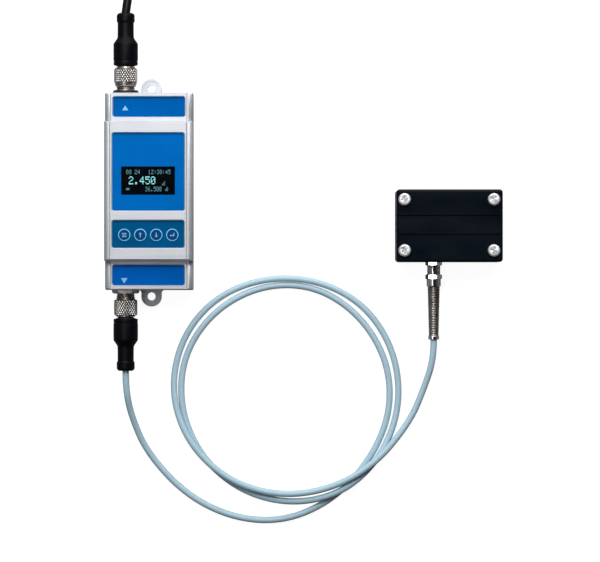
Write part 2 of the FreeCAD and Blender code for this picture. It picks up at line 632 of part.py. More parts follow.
# the stored coil: ten turns in a bundle 3 + 4 + 3, tied once
d = POWER_CABLE_D
hgt = d * (1 + math.sqrt(3))
sec = [(-1.5 * d, 0), (1.5 * d, 0), (2.0 * d, 0.6 * hgt / 2), (2.0 * d, 1.4 * hgt / 2),
       (1.5 * d, hgt), (-1.5 * d, hgt), (-2.0 * d, 1.4 * hgt / 2), (-2.0 * d, 0.6 * hgt / 2)]
coil = rev_z([(COIL_R + a, b) for a, b in sec], COIL_X, COIL_Y)
# the tie: a strap round the bundle at the coil's far side
TIE_W, TIE_T = 8.0, 0.9
ty = COIL_Y + COIL_R
ring = [(-1.5 * d - 0.5, 0), (1.5 * d + 0.5, 0), (2.0 * d + TIE_T, 0.5 * hgt / 2),
        (2.0 * d + TIE_T, 1.5 * hgt / 2), (1.5 * d + 0.5, hgt + TIE_T),
        (-1.5 * d - 0.5, hgt + TIE_T), (-2.0 * d - TIE_T, 1.5 * hgt / 2),
        (-2.0 * d - TIE_T, 0.5 * hgt / 2)]
hole = [(-1.5 * d, TIE_T), (1.5 * d, TIE_T), (2.0 * d, 0.6 * hgt / 2),
        (2.0 * d, 1.4 * hgt / 2), (1.5 * d, hgt), (-1.5 * d, hgt),
        (-2.0 * d, 1.4 * hgt / 2), (-2.0 * d, 0.6 * hgt / 2)]
tie = prism([(COIL_X - TIE_W / 2, ty + a, b) for a, b in ring], (TIE_W, 0, 0)).cut(
    prism([(COIL_X - TIE_W, ty + a, b) for a, b in hole], (2 * TIE_W, 0, 0)))
coil = coil.cut(tie)
add("power_cable_coil", coil)
add("coil_tie", tie)
lead_in = tube(POWER_ROUTE, d, "power cable, free stretch")
lead_in = lead_in.cut(rev_z([(COIL_R + a, b) for a, b in sec], COIL_X, COIL_Y))
lead_in = lead_in.cut(PARTS["power_plug"])
solids = sorted(lead_in.Solids, key=lambda s: s.CenterOfMass.y)
add("power_cable", solids[0])
# the five cores at the free end, lying on the coil
cores = []
for i in range(5):
    r = COIL_R - 5.3 + (i - 2) * 1.5
    a0, a1 = math.radians(-60), math.radians(-60 + 72 + (i % 2) * 7)
    z = hgt + 0.62
    am = (a0 + a1) / 2
    pts = [V(COIL_X + r * math.cos(a), COIL_Y + r * math.sin(a), z) for a in (a0, am, a1)]
    w = Part.Wire([Part.Arc(*pts).toShape()])
    t = V(-math.sin(a0), math.cos(a0), 0)
    cores.append(w.makePipeShell([Part.Wire(Part.makeCircle(0.6, pts[0], t))], True, True))
add("power_cable_cores", group(*cores))

# ==================================================================== output
for name, shape in PARTS.items():
    ok = shape.isValid() and all(s.isClosed() for s in shape.Solids)
    b = shape.BoundBox
    print("%-24s solids %2d vol %9.1f %s  x %.1f..%.1f y %.1f..%.1f z %.2f..%.2f" % (
        name, len(shape.Solids), shape.Volume, "ok" if ok else "BAD",
        b.XMin, b.XMax, b.YMin, b.YMax, b.ZMin, b.ZMax))
    shape.exportStep("parts/%s.step" % name)
print(len(PARTS), "nodes")
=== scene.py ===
import math

import bmesh
import bpy
from mathutils import Matrix, Vector


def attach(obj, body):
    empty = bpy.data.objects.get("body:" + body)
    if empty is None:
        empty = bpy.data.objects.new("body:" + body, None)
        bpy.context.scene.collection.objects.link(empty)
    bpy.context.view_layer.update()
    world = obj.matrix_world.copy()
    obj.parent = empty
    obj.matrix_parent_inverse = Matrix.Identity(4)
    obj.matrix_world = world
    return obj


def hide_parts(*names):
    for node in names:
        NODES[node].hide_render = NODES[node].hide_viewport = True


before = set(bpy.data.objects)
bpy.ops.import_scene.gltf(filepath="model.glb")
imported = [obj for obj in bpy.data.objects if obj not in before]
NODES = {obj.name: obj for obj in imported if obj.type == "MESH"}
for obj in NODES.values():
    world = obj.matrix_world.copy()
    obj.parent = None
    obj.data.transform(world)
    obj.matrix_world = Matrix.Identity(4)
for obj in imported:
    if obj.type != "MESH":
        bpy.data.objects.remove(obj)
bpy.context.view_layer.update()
MM = 0.001
scene = bpy.context.scene
pi = math.pi

# ------------------------------------------------------------------- camera
cam_data = bpy.data.cameras.new("camera")
cam_data.lens = 165.0
cam_data.sensor_width = 36.0
cam_data.clip_start, cam_data.clip_end = 0.05, 20.0
cam = bpy.data.objects.new("camera", cam_data)
cam.location = (0.09167, -0.05446, 1.700)
cam.rotation_euler = (0.0, 0.0, 0.0)
scene.collection.objects.link(cam)
scene.camera = cam
scene.view_settings.view_transform = "Standard"


# ---------------------------------------------------------------- materials
class Nodes:
    """A small helper round one material's node tree."""

    def __init__(self, name):
        self.m = bpy.data.materials.new(name)
        self.m.use_nodes = True
        self.t = self.m.node_tree
        self.t.nodes.clear()
        self.out = self.add("ShaderNodeOutputMaterial")
        self.p = self.add("ShaderNodeBsdfPrincipled")
        self.link(self.p.outputs["BSDF"], self.out.inputs["Surface"])
        self.coord = self.add("ShaderNodeTexCoord")

    def add(self, kind, **props):
        n = self.t.nodes.new(kind)
        for k, v in props.items():
            setattr(n, k, v)
        return n

    def link(self, a, b):
        self.t.links.new(a, b)

    def place(self, scale, rot=(0, 0, 0), loc=(0, 0, 0)):
        n = self.add("ShaderNodeMapping")
        n.inputs["Scale"].default_value = scale
        n.inputs["Rotation"].default_value = rot
        n.inputs["Location"].default_value = loc
        self.link(self.coord.outputs["Object"], n.inputs["Vector"])
        return n.outputs["Vector"]

    def noise(self, scale, detail=3.0, rough=0.5, rot=(0, 0, 0), loc=(0, 0, 0), dist=0.0):
        n = self.add("ShaderNodeTexNoise")
        n.inputs["Scale"].default_value = 1.0
        n.inputs["Detail"].default_value = detail
        n.inputs["Roughness"].default_value = rough
        n.inputs["Distortion"].default_value = dist
        self.link(self.place(scale, rot, loc), n.inputs["Vector"])
        return n.outputs["Fac"]

    def ramp(self, fac, stops):
        n = self.add("ShaderNodeValToRGB")
        e = n.color_ramp.elements
        while len(e) < len(stops):
            e.new(0.5)
        for i, (at, c) in enumerate(stops):
            e[i].position = at
            e[i].color = (*c, 1.0) if len(c) == 3 else c
        self.link(fac, n.inputs["Fac"])
        return n.outputs["Color"]

    def range(self, fac, a, b, lo, hi):
        n = self.add("ShaderNodeMapRange")
        for k, v in zip(("From Min", "From Max", "To Min", "To Max"), (a, b, lo, hi)):
            n.inputs[k].default_value = v
        self.link(fac, n.inputs["Value"])
        return n.outputs["Result"]

    def math(self, op, a, b):
        n = self.add("ShaderNodeMath", operation=op)
        for i, v in enumerate((a, b)):
            if isinstance(v, (int, float)):
                n.inputs[i].default_value = v
            else:
                self.link(v, n.inputs[i])
        return n.outputs[0]

    def bump(self, height, strength, distance, normal=None):
        n = self.add("ShaderNodeBump")
        n.inputs["Strength"].default_value = strength
        n.inputs["Distance"].default_value = distance
        self.link(height, n.inputs["Height"])
        if normal is not None:
            self.link(normal, n.inputs["Normal"])
        return n.outputs["Normal"]

    def set(self, **kw):
        names = {"base": "Base Color", "rough": "Roughness", "metal": "Metallic",
                 "spec": "Specular IOR Level", "ior": "IOR", "normal": "Normal",
                 "coat": "Coat Weight", "coat_rough": "Coat Roughness",
                 "aniso": "Anisotropic", "emit": "Emission Color",
                 "emit_s": "Emission Strength", "sheen": "Sheen Weight",
                 "sss": "Subsurface Weight"}
        for k, v in kw.items():
            s = self.p.inputs[names[k]]
            if isinstance(v, bpy.types.NodeSocket):
                self.link(v, s)
            elif isinstance(v, (tuple, list)):
                s.default_value = (*v, 1.0) if len(v) == 3 else v
            else:
                s.default_value = v
        return self.m


def srgb(r, g, b):
    def f(c):
        c /= 255.0
        return c / 12.92 if c <= 0.04045 else ((c + 0.055) / 1.055) ** 2.4
    return (f(r), f(g), f(b))


def mixed(c, k):
    return tuple(max(0.0, min(1.0, v * k)) for v in c)


def plain(name, c, rough, metal=0.0, spec=0.5, grain=(1200, 1200, 1200), vary=0.12,
          fine=0.0, fine_d=0.00003, mottle=(90, 90, 90), rough_vary=0.08, **kw):
    """Colour and gloss that drift a little, with a fine surface grain."""
    n = Nodes(name)
    big = n.noise(mottle, 3.0)
    small = n.noise(grain, 2.0, loc=(0.3, 0.7, 0.1))
    f = n.math("ADD", n.math("MULTIPLY", big, 0.65), n.math("MULTIPLY", small, 0.35))
    col = n.ramp(f, [(0.30, mixed(c, 1.0 - vary)), (0.70, mixed(c, 1.0 + vary))])
    r = n.range(big, 0.3, 0.7, max(0.02, rough - rough_vary), min(1.0, rough + rough_vary))
    kw.setdefault("base", col)
    if fine:
        kw["normal"] = n.bump(small, fine, fine_d)
    return n.set(rough=r, metal=metal, spec=spec, **kw)


def silver():
    """Satin silver paint over a drawn case: fine streaks across the width."""
    n = Nodes("case_silver")
    streak = n.noise((26, 1500, 900), 4.0, 0.6)
    cloud = n.noise((40, 22, 40), 3.0, 0.55, loc=(3, 1, 2))
    grain = n.noise((5200, 5200, 5200), 1.0)
    f = n.math("ADD", n.math("MULTIPLY", streak, 0.55),
               n.math("ADD", n.math("MULTIPLY", cloud, 0.30), n.math("MULTIPLY", grain, 0.15)))
    col = n.ramp(f, [(0.32, (0.428, 0.450, 0.486)), (0.50, (0.490, 0.508, 0.540)),
                     (0.68, (0.548, 0.563, 0.587))])
    r = n.range(streak, 0.25, 0.75, 0.38, 0.52)
    h = n.bump(streak, 0.10, 0.00004, n.bump(grain, 0.05, 0.00002))
    return n.set(base=col, rough=r, metal=0.55, spec=0.5, normal=h)


def label_mat(name, c, c2, top):
    """Printed polyester under a fine matte texture, with a painted shadow darkening it along its top
    edge, where the pocket wall shades it.
    """
    n = Nodes(name)
    soft = n.noise((35, 60, 35), 2.0, loc=(1, 2, 3))
    tooth = n.noise((6000, 6000, 6000), 1.0)
    col = n.ramp(soft, [(0.30, c), (0.70, c2)])
    # painted shadow: the colour is blended towards dark navy over the label's top 1.7 mm
    xyz = n.add("ShaderNodeSeparateXYZ")
    n.link(n.coord.outputs["Object"], xyz.inputs[0])
    mix = n.add("ShaderNodeMix", data_type="RGBA")
    n.link(n.range(xyz.outputs["Y"], (top - 1.7) * MM, (top - 0.2) * MM, 0.0, 0.62),
           mix.inputs["Factor"])
    n.link(col, mix.inputs[6])
    mix.inputs[7].default_value = (0.0, 0.012, 0.05, 1.0)
    return n.set(base=mix.outputs[2], rough=n.range(tooth, 0.3, 0.7, 0.42, 0.56), spec=0.0,
                 normal=n.bump(tooth, 0.06, 0.00002))


def metal(name, c, rough, dirt=0.25, streak=(300, 300, 300), bump=0.05, dark=None):
    """Plated metal with a little wear in its gloss and darker marks."""
    n = Nodes(name)
    a = n.noise(streak, 4.0, 0.6)
    b = n.noise((160, 160, 160), 3.0, 0.5, loc=(5, 5, 5))
    f = n.math("ADD", n.math("MULTIPLY", a, 0.5), n.math("MULTIPLY", b, 0.5))
    col = n.ramp(f, [(0.30, mixed(c, 1.0 - dirt)), (0.55, c), (0.75, mixed(c, 1.08))])
    r = n.range(a, 0.3, 0.7, rough * 0.75, rough * 1.35)
    return n.set(base=col, rough=r, metal=1.0, normal=n.bump(a, bump, 0.00003))


def turned(name, c, rough):
    """Turned metal: fine rings about each part's own middle, which draw the
    light out into a bow tie across a flat face."""
    n = Nodes(name)
    a = n.noise((900, 900, 900), 3.0, 0.6)
    b = n.noise((260, 260, 260), 2.0, 0.5, loc=(2, 5, 1))
    col = n.ramp(n.math("ADD", n.math("MULTIPLY", a, 0.5), n.math("MULTIPLY", b, 0.5)),
                 [(0.35, mixed(c, 0.72)), (0.60, c)])
    t = n.add("ShaderNodeTangent", direction_type="RADIAL", axis="Z")
    n.link(t.outputs["Tangent"], n.p.inputs["Tangent"])
    return n.set(base=col, rough=n.range(a, 0.3, 0.7, rough * 0.8, rough * 1.25), metal=0.62,
                 aniso=0.80, normal=n.bump(b, 0.10, 0.00004))


def head():
    """Black anodised block, brushed along X, with painted shade blackening the bottoms of its two
    grooves.
    """
    n = Nodes("head_black")
    brush = n.noise((60, 2400, 2400), 2.0, loc=(0.3, 0.7, 0.1))
    cloud = n.noise((25, 70, 25), 3.0)
    f = n.math("ADD", n.math("MULTIPLY", cloud, 0.6), n.math("MULTIPLY", brush, 0.4))
    c = srgb(3, 11, 20)
    col = n.ramp(f, [(0.30, mixed(c, 0.75)), (0.70, mixed(c, 1.25))])
    xyz = n.add("ShaderNodeSeparateXYZ")
    n.link(n.coord.outputs["Object"], xyz.inputs[0])
    # painted shade: within 0.3 mm of the two groove lines on the top face the colour goes black and the
    # gloss fully rough
    near = [n.range(n.math("ABSOLUTE", n.math("SUBTRACT", xyz.outputs["Y"], y), 0.0),
                    0.00030, 0.00036, 1.0, 0.0) for y in (-0.0147, -0.0262)]
    high = n.range(xyz.outputs["Z"], 0.0288, 0.0290, 0.0, 1.0)
    groove_shade = n.math("MULTIPLY", n.math("MAXIMUM", near[0], near[1]), high)
    mix = n.add("ShaderNodeMix", data_type="RGBA")
    n.link(groove_shade, mix.inputs["Factor"])
    n.link(col, mix.inputs[6])
    mix.inputs[7].default_value = (0.0, 0.0, 0.0, 1.0)
    r = n.math("MAXIMUM", n.range(cloud, 0.3, 0.7, 0.22, 0.34), groove_shade)
    return n.set(base=mix.outputs[2], rough=r, spec=0.14, normal=n.bump(brush, 0.12, 0.00003))


M = {}
M["case_silver"] = silver()
M["label_blue"] = label_mat("label_blue", srgb(2, 95, 171), srgb(2, 101, 183), 35.2)
M["label_top_blue"] = label_mat("label_top_blue", srgb(2, 85, 158), srgb(2, 93, 172), 57.5)
# painted shade: the lower label gets its own copy of the label blue, toned darker because it sits
# further from the light
M["label_low_blue"] = label_mat("label_low_blue", srgb(2, 86, 170), srgb(2, 94, 184), -44.8)
M["label_dark_blue"] = label_mat("label_dark_blue", srgb(4, 75, 121), srgb(4, 83, 134), -17.8)
M["key_blue"] = plain("key_blue", srgb(2, 60, 112), 0.42, spec=0.05, vary=0.10,
                      fine=0.05, grain=(5000, 5000, 5000))
M["key_line"] = plain("key_line", srgb(118, 190, 232), 0.5, spec=0.2, vary=0.06)
M["mark_light"] = plain("mark_light", srgb(128, 182, 228), 0.5, spec=0.2, vary=0.05)
M["window"] = plain("window_clear", srgb(5, 7, 10), 0.10, spec=0.16, vary=0.3,
                    rough_vary=0.03)
M["nickel"] = metal("nickel", (0.72, 0.69, 0.66), 0.25, dirt=0.22)
# the sockets' duller plating; on the nuts' rear collars the same darker metal is painted shade
M["nickel_dull_and_shade"] = metal("nickel_dull_and_shade", (0.42, 0.385, 0.36), 0.28, dirt=0.4)
M["steel_zinc"] = metal("steel_zinc", (0.60, 0.60, 0.60), 0.34)
M["chrome"] = turned("chrome", (0.93, 0.93, 0.94), 0.34)
M["gland_nickel"] = metal("gland_nickel", (0.78, 0.76, 0.74), 0.13, dirt=0.15, bump=0.02)
# painted shade: a near-black metal for the coupling nuts' knurl valleys and front grooves
M["knurl_valley_shade"] = metal("knurl_valley_shade", (0.10, 0.085, 0.078), 0.45, dirt=0.3)
M["spring_steel"] = metal("spring_steel", (0.40, 0.38, 0.355), 0.30, dirt=0.3)
M["gold"] = metal("gold", (0.85, 0.62, 0.25), 0.25)
M["overmould_black"] = plain("overmould_black", srgb(5, 6, 10), 0.40, spec=0.10,
                             vary=0.15, fine=0.10, grain=(2600, 2600, 2600))
M["connector_black"] = plain("connector_black", srgb(24, 24, 26), 0.5, spec=0.35)
M["cable_black"] = plain("cable_black", srgb(9, 10, 14), 0.40, spec=0.16, vary=0.15,
                         fine=0.10, grain=(1500, 1500, 1500))
M["cable_grey_blue"] = plain("cable_grey_blue", srgb(168, 197, 211), 0.52, spec=0.28,
                             vary=0.04, fine=0.08, grain=(1800, 1800, 1800),
                             mottle=(40, 40, 40))
M["head_black"] = head()
M["seal_rubber"] = plain("seal_rubber", srgb(22, 22, 24), 0.6, spec=0.3)
M["wedge_amber"] = plain("wedge_amber", srgb(196, 160, 92), 0.35, spec=0.4)
M["ceramic"] = plain("ceramic", srgb(214, 208, 190), 0.6, spec=0.3)
M["board_green"] = plain("board_green", srgb(22, 86, 52), 0.4, spec=0.4)
M["chip_black"] = plain("chip_black", srgb(28, 28, 30), 0.5, spec=0.3)
M["display_black"] = plain("display_black", srgb(14, 15, 18), 0.3, spec=0.4)
M["wire"] = plain("wire", srgb(190, 60, 48), 0.45, spec=0.3)
M["tie_black"] = plain("tie_black", srgb(30, 30, 32), 0.62, spec=0.25, fine=0.2,
                       grain=(1600, 1600, 1600))
M["can_grey"] = plain("can_grey", srgb(60, 62, 70), 0.35, spec=0.4)
CORE_COLOURS = {"core_brown": (110, 62, 34), "core_white": (226, 226, 220),
                "core_blue": (40, 84, 170), "core_black": (32, 32, 34),
                "core_grey": (140, 142, 146)}
for k, c in CORE_COLOURS.items():
    M[k] = plain(k, srgb(*c), 0.45, spec=0.35, vary=0.06)
M["tinned"] = metal("tinned", (0.78, 0.74, 0.68), 0.3)


def emissive(name, c, strength):
    n = Nodes(name)
    glow = n.noise((900, 900, 900), 1.0)
    col = n.ramp(glow, [(0.3, mixed(c, 0.85)), (0.7, c)])
    return n.set(base=(0.01, 0.02, 0.02), emit=col, emit_s=strength, rough=0.4, spec=0.1)


M["digits"] = emissive("digits", srgb(150, 240, 240), 1.15)
M["digits_small"] = emissive("digits_small", srgb(120, 204, 220), 0.80)


# ------------------------------------------------------------------ helpers
def link(o):
    scene.collection.objects.link(o)
    return o


def finish_mesh(bm, name, mats, body, replaces=(), angle=35, recalc=True):
    if recalc:
        bmesh.ops.recalc_face_normals(bm, faces=bm.faces)
    me = bpy.data.meshes.new(name)
    bm.to_mesh(me)
    bm.free()
    me.polygons.foreach_set("use_smooth", [True] * len(me.polygons))
    me.set_sharp_from_angle(angle=math.radians(angle))
    for m in mats:
        me.materials.append(m)
    o = link(bpy.data.objects.new(name, me))
    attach(o, body)
    if replaces:
        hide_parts(*replaces)
    return o


def rounded(points, r, steps=3, closed=True):
    """A profile with its corners rounded by radius r (or a list of radii)."""
    n = len(points)
    out = []
    for i in range(n):
        p = Vector(points[i])
        ri = r[i] if isinstance(r, (list, tuple)) else r
        if ri <= 0 or (not closed and i in (0, n - 1)):
            out.append(tuple(p))
            continue
        a, b = Vector(points[i - 1]) - p, Vector(points[(i + 1) % n]) - p
        if a.length < 1e-9 or b.length < 1e-9:
            out.append(tuple(p))
            continue
        turn = a.angle(b)
        if turn > pi - 0.02:
            out.append(tuple(p))
            continue
        m = min(ri / math.tan(turn / 2), 0.45 * a.length, 0.45 * b.length)
        pa, pb = p + a.normalized() * m, p + b.normalized() * m
        for k in range(steps + 1):
            t = k / steps
            q = pa * (1 - t) ** 2 + p * 2 * t * (1 - t) + pb * t * t
            out.append(tuple(q))
    return out


def ring_y(bm, profile, x, z, s, segs=64, mat=0, closed=True):
    """Profile (radius, y) in mm, turned about a line along Y through x, z."""
    rows = []
    for r, y in profile:
        if r < 1e-6:
            rows.append([bm.verts.new((x * MM, s * y * MM, z * MM))])
        else:
            rows.append([bm.verts.new(((x + r * math.cos(2 * pi * k / segs)) * MM, s * y * MM,
                                       (z + r * math.sin(2 * pi * k / segs)) * MM))
                         for k in range(segs)])
    pairs = list(zip(rows, rows[1:] + rows[:1])) if closed else list(zip(rows, rows[1:]))
    for a, b in pairs:
        skin(bm, a, b, mat)
    return rows


def skin(bm, a, b, mat=0):
    if len(a) == 1 and len(b) == 1:
        return
    n = max(len(a), len(b))
    for k in range(n):
        k2 = (k + 1) % n
        if len(a) == 1:
            f = bm.faces.new((a[0], b[k], b[k2]))
        elif len(b) == 1:
            f = bm.faces.new((a[k], b[0], a[k2]))
        else:
            f = bm.faces.new((a[k], b[k], b[k2], a[k2]))
        f.material_index = mat


def field_y(bm, x, z, s, segs, ys, radius, mat=0, ends=None):
    """A turned surface whose radius(angle, y) may vary; ends are inner radii
    (start, end) that close it into a solid ring."""
    rows = []
    if ends:
        rows.append([bm.verts.new(((x + ends[0] * math.cos(2 * pi * k / segs)) * MM,
                                   s * ys[0] * MM,
                                   (z + ends[0] * math.sin(2 * pi * k / segs)) * MM))
                     for k in range(segs)])
    for y in ys:
        row = []
        for k in range(segs):
            a = 2 * pi * k / segs
            r = radius(a, y)
            row.append(bm.verts.new(((x + r * math.cos(a)) * MM, s * y * MM,
                                     (z + r * math.sin(a)) * MM)))
        rows.append(row)
    if ends:
        rows.append([bm.verts.new(((x + ends[1] * math.cos(2 * pi * k / segs)) * MM,
                                   s * ys[-1] * MM,
                                   (z + ends[1] * math.sin(2 * pi * k / segs)) * MM))
                     for k in range(segs)])
    pairs = list(zip(rows, rows[1:])) + ([(rows[-1], rows[0])] if ends else [])
    for a, b in pairs:
        skin(bm, a, b, mat)


def hex_radius(a, across):
    """Distance from the middle of a hexagon with corners left and right."""
    t = a - round((a - pi / 6) / (pi / 3)) * (pi / 3) - pi / 6
    return across / 2 / math.cos(t)


def hex_ring(bm, x, z, s, across, y0, y1, bore, mat=0, cham=(True, True), per=8, edge=0.12,
             turn=0.0):
    """A hexagon nut with its corners chamfered at one or both ends."""
    angles = []
    for i in range(6):
        for k in range(per):
            angles.append(pi / 3 * i + pi / 3 * k / per)
    rc = across / 2 * 0.985
    tan = math.tan(math.radians(30))

    def row(fr, fy):
        out = []
        for a in angles:
            rh = hex_radius(a, across)
            r = fr(rh)
            y = fy(rh)
            q = a + math.radians(turn)
            out.append(bm.verts.new(((x + r * math.cos(q)) * MM, s * y * MM,
                                     (z + r * math.sin(q)) * MM)))
        return out
    rows = [row(lambda h: bore, lambda h: y0)]
    if cham[0]:
        rows.append(row(lambda h: rc, lambda h: y0))
        rows.append(row(lambda h: h, lambda h: y0 + (h - rc) * tan + 0.02))
    else:
        rows.append(row(lambda h: h - edge, lambda h: y0))
        rows.append(row(lambda h: h, lambda h: y0 + edge))
    if cham[1]:
        rows.append(row(lambda h: h, lambda h: y1 - (h - rc) * tan - 0.02))
        rows.append(row(lambda h: rc, lambda h: y1))
    else:
        rows.append(row(lambda h: h, lambda h: y1 - edge))
        rows.append(row(lambda h: h - edge, lambda h: y1))
    rows.append(row(lambda h: bore, lambda h: y1))
    for a, b in zip(rows, rows[1:] + rows[:1]):
        skin(bm, a, b, mat)


def tri(u):
    u = u % 1.0
    return 2 * u if u < 0.5 else 2 - 2 * u


def nurbs(name, points, radius, material, res=12, bevel=5):
    cu = bpy.data.curves.new(name, "CURVE")
    cu.dimensions = "3D"
    sp = cu.splines.new("NURBS")
    sp.points.add(len(points) - 1)
    for p, q in zip(sp.points, points):
        p.co = (q[0], q[1], q[2], 1.0)
    sp.order_u = 3
    sp.use_endpoint_u = True
    sp.resolution_u = res
    cu.resolution_u = res
    cu.bevel_depth = radius
    cu.bevel_resolution = bevel
    cu.use_fill_caps = True
    cu.materials.append(material)
    return link(bpy.data.objects.new(name, cu))


# --------------------------------------------------------------- the cords
# sensor cable: out of the transmitter's lower plug, two loops, to the head
SENSOR = [
    (-.015, -.1094, .017), (-.015, -.1214, .017), (-.01146, -.13926, .009),
    (-.00228, -.16076, .003), (.02091, -.18617, .002), (.04996, -.20074, .002),
    (.0815, -.20299, .002), (.1111, -.19024, .002), (.13471, -.16574, .002),
    (.14793, -.13521, .002), (.14577, -.10314, .002), (.12826, -.07467, .002),
    (.10031, -.05713, .002), (.06772, -.05686, .002), (.03813, -.07269, .002),
    (.01963, -.0999, .002), (.01746, -.13263, .002), (.0304, -.16329, .002),
    (.05564, -.18462, .0021), (.08792, -.19236, .004), (.11956, -.18431, .00715),
    (.14307, -.1613, .0033), (.15387, -.1299, .002), (.14982, -.09696, .002),
    (.13216, -.06949, .0021), (.10353, -.05385, .0032), (.06998, -.05214, .0032),
    (.03921, -.06426, .002), (.0185, -.08941, .002), (.0119, -.1219, .0031),
    (.02192, -.1532, .00615), (.04559, -.17656, .0065), (.07673, -.187, .0058),
    (.10906, -.18319, .0083), (.1375, -.16755, .0094), (.1594, -.14121, .0054),
    (.16816, -.1203, .0052), (.1739, -.1025, .0085), (.1739, -.0905, .0085)]
sensor_cable = nurbs("sensor_cable_free", SENSOR, .002, M["cable_grey_blue"], 14, 6)
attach(sensor_cable, "base")
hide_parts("sensor_cable")

# power cable: out of the upper plug, down to the floor and into a tied coil
COIL = (.0268, .1745)
COIL_R = .0305
D = .0053
STEP_Z = D * math.sqrt(3) / 2
SLOTS = ([(k * D, 0) for k in (1, 0, -1)] + [(k * D, 1) for k in (-1.5, -.5, .5, 1.5)]
         + [(k * D, 2) for k in (1, 0, -1)] + [(-.5 * D, 3)])
PER = 16
KEEP = math.cos(pi / PER)


def smooth(t):
    t = max(0.0, min(1.0, t))
    return t * t * (3 - 2 * t)


def coil_point(turn, k):
    phi = 360.0 * k / PER
    a, b = SLOTS[turn], SLOTS[min(turn + 1, len(SLOTS) - 1)]
    t = smooth((phi - 288) / 66)
    off = a[0] + (b[0] - a[0]) * t
    row = a[1] + (b[1] - a[1]) * t
    zone = smooth((phi - 262) / 30) * (1 - smooth((phi - 352) / 20)) if phi > 180 else \
        1 - smooth((phi + 8) / 24)
    z = D / 2 + row * (STEP_Z + (D - STEP_Z) * zone)
    lift = max(0.0, min(1.0, 1 - (abs(phi - 90) - 23) / 44))
    z += .0009 * lift
    if row > 2.5:
        z += .0017 * lift
    r = (COIL_R + off) / KEEP
    p = math.radians(phi)
    return (COIL[0] - r * math.cos(p), COIL[1] + r * math.sin(p), z)


POWER = [(-.015, .1094, .017), (-.0133, .1214, .017), (-.0116, .137, .0104),
         (-.0109, .152, .0044), (-.0092, .167, .00265)]
POWER += [coil_point(0, k) for k in range(1, PER)]
for turn in range(1, 10):
    POWER += [coil_point(turn, k) for k in range(PER)]
POWER += [coil_point(10, k) for k in range(0, 8)]
power_cable = nurbs("power_cable_free", POWER, .00265, M["cable_black"], 8, 6)
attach(power_cable, "base")
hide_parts("power_cable", "power_cable_coil")

# ------------------------------------------------- the coil's tie and cores
def strap(bm, centres, inner, outer, x0, x1, start=0.0, end=1.0, mat=0, bevel=0.25):
    """A band round a bundle: the hull of circles about the centres (y, z),
    from share start to share end of the way round, as a closed solid."""
    line = []
    n = len(centres)
    for i in range(n):
        p, c, q = (Vector(centres[(i + k) % n]) for k in (-1, 0, 1))
        n0 = Vector(((c - p).y, -(c - p).x)).normalized()
        n1 = Vector(((q - c).y, -(q - c).x)).normalized()
        for k in range(7):
            d = n0.lerp(n1, k / 6).normalized()
            line.append((c, d))
    whole = start == 0.0 and end == 1.0
    if not whole:
        m = len(line)
        line = [line[i % m] for i in range(int(start * m), int(end * m))]
    rows = []
    section = [(x0, inner), (x1, inner), (x1, outer - bevel), (x1 - bevel, outer),
               (x0 + bevel, outer), (x0, outer - bevel)]
    for c, d in line:
        rows.append([bm.verts.new((x * MM, (c.x + d.x * r) * MM, (c.y + d.y * r) * MM))
                     for x, r in section])
    pairs = list(zip(rows, rows[1:])) + ([(rows[-1], rows[0])] if whole else [])
    for u, v in pairs:
        skin(bm, u, v, mat)
    if not whole:
        bm.faces.new(rows[0]).material_index = mat
        bm.faces.new(list(reversed(rows[-1]))).material_index = mat


d5 = D / MM
up = .9
rows3 = [d5 / 2 + up + k * STEP_Z / MM for k in range(3)]
cy = COIL[1] / MM + COIL_R / MM
hull = [(cy - d5, rows3[0]), (cy + d5, rows3[0]), (cy + 1.5 * d5, rows3[1]),
        (cy + d5, rows3[2]), (cy - d5, rows3[2]), (cy - 1.5 * d5, rows3[1])]
bm = bmesh.new()
cx = COIL[0] / MM
strap(bm, hull, d5 / 2 + .03, d5 / 2 + .9, cx - 4, cx + 4)
strap(bm, hull, d5 / 2 + .9, d5 / 2 + 1.7, cx - 4, cx + 4, .31, .78)
coil_tie = finish_mesh(bm, "coil_strap", [M["tie_black"]], "base",
                       ("coil_tie",), 50)


def thin(name, points, r, material, body="base"):
    o = nurbs(name, points, r, material, 8, 3)
    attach(o, body)
    return o


def over_coil(r):
    """Height of a core lying on the top row of turns at radius r (mm)."""
    rc = [COIL_R / MM + k * d5 for k in (-1, 0, 1)]
    z = d5 / 2 + 2 * STEP_Z / MM
    return max(z + math.sqrt(max(0.0, (d5 / 2 + .6) ** 2 - (r - c) ** 2)) for c in rc)


core_pieces = []
end_a = math.radians(22.5)
for i, key in enumerate(CORE_COLOURS):
    off = (i - 2)
    r0 = 28.4 + off * .62
    z0 = SLOTS[-1][1] * STEP_Z / MM + d5 / 2 + (.9 if i % 2 else -.5)
    pts = []
    last = -52 - (i * 37 % 19)
    for t in range(9):
        deg = 24.0 + (last - 24.0) * t / 8
        k = smooth(t / 4.0)
        r = r0 + (24.4 + i * 1.65 - r0) * k + .25 * math.sin(1.7 * t + 2.1 * i)
        z = z0 + (over_coil(r) + .02 - z0) * smooth(t / 2.6)
        q = math.radians(deg)
        pts.append(((cx + r * math.cos(q)) * MM, (COIL[1] / MM + r * math.sin(q)) * MM, z * MM))
    core = thin("cable_" + key, pts, .0006, M[key])
    q0, q1 = Vector(pts[-2]), Vector(pts[-1])
    dirn = (q1 - q0).normalized()
    tip = thin("cable_tip_" + key[5:], [q1 - dirn * .0008, q1 + dirn * .002, q1 + dirn * .0045],
               .00034, M["tinned"])
    core_pieces += [core, tip]
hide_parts("power_cable_cores")


# --------------------------------------------------- round connectors (M12)
CX, CZ = -15.0, 17.0


def knurl(around, pitch, r, depth, y0, y1, edge=0.35):
    def f(a, y):
        u = around * a / (2 * pi) + y / pitch
        v = around * a / (2 * pi) - y / pitch
        h = min(1.0, 1.9 * min(tri(u), tri(v)))
        k = min(1.0, (y - y0) / edge, (y1 - y) / edge)
        return r - depth * (1 - h) - (1 - max(0.0, k)) * depth * 1.15 * h
    return f


